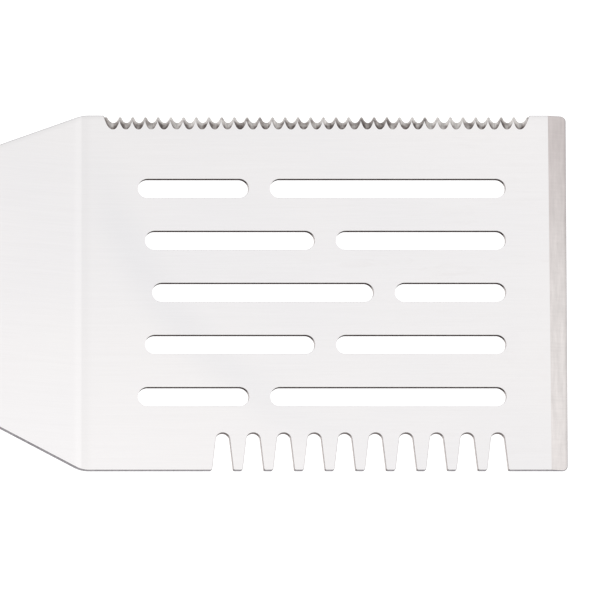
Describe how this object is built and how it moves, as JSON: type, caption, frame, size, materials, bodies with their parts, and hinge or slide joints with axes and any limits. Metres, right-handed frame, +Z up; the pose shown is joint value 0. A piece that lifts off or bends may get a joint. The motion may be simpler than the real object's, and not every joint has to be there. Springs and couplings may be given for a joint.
{
  "type": "grill spatula",
  "caption": "Long-handled grill turner with a wide slotted steel head, serrated and comb edges, ground front edge, riveted wooden handle and hanging ring.",
  "frame": {"origin": "bottom centre of the whole tool's box as it rests on a table, on the heel of the neck and the butt cap", "axes": "+X from the handle to the front edge of the head, +Y to the serrated side, +Z up"},
  "size_m": [0.492, 0.1154, 0.0276],
  "materials": {
    "blade_steel": "fine satin brushing along the tool, ground front edge and serration",
    "handle_wood": "oiled walnut, fine open grain along the handle",
    "rivet_steel": "flush rivet faces, finely ground",
    "cap_steel": "satin polished casting",
    "ring_steel": "polished round wire"
  },
  "bodies": {
    "spatula": {"blade": "blade_steel", "scale_top": "handle_wood", "scale_bottom": "handle_wood", "rivet_post_1": "rivet_steel", "rivet_sleeve_1": "rivet_steel", "rivet_post_2": "rivet_steel", "rivet_sleeve_2": "rivet_steel", "rivet_post_3": "rivet_steel", "rivet_sleeve_3": "rivet_steel", "butt_cap": "cap_steel", "cap_pin": "rivet_steel"},
    "ring": {"hanging_ring": "ring_steel"}
  },
  "joints": [
    {"name": "ring_swing", "type": "hinge", "parent": "spatula", "child": "ring", "pos_m": [-0.21457, 0, 0.00946], "axis": [0, 1, 0], "range_deg": [-115, 135]}
  ]
}
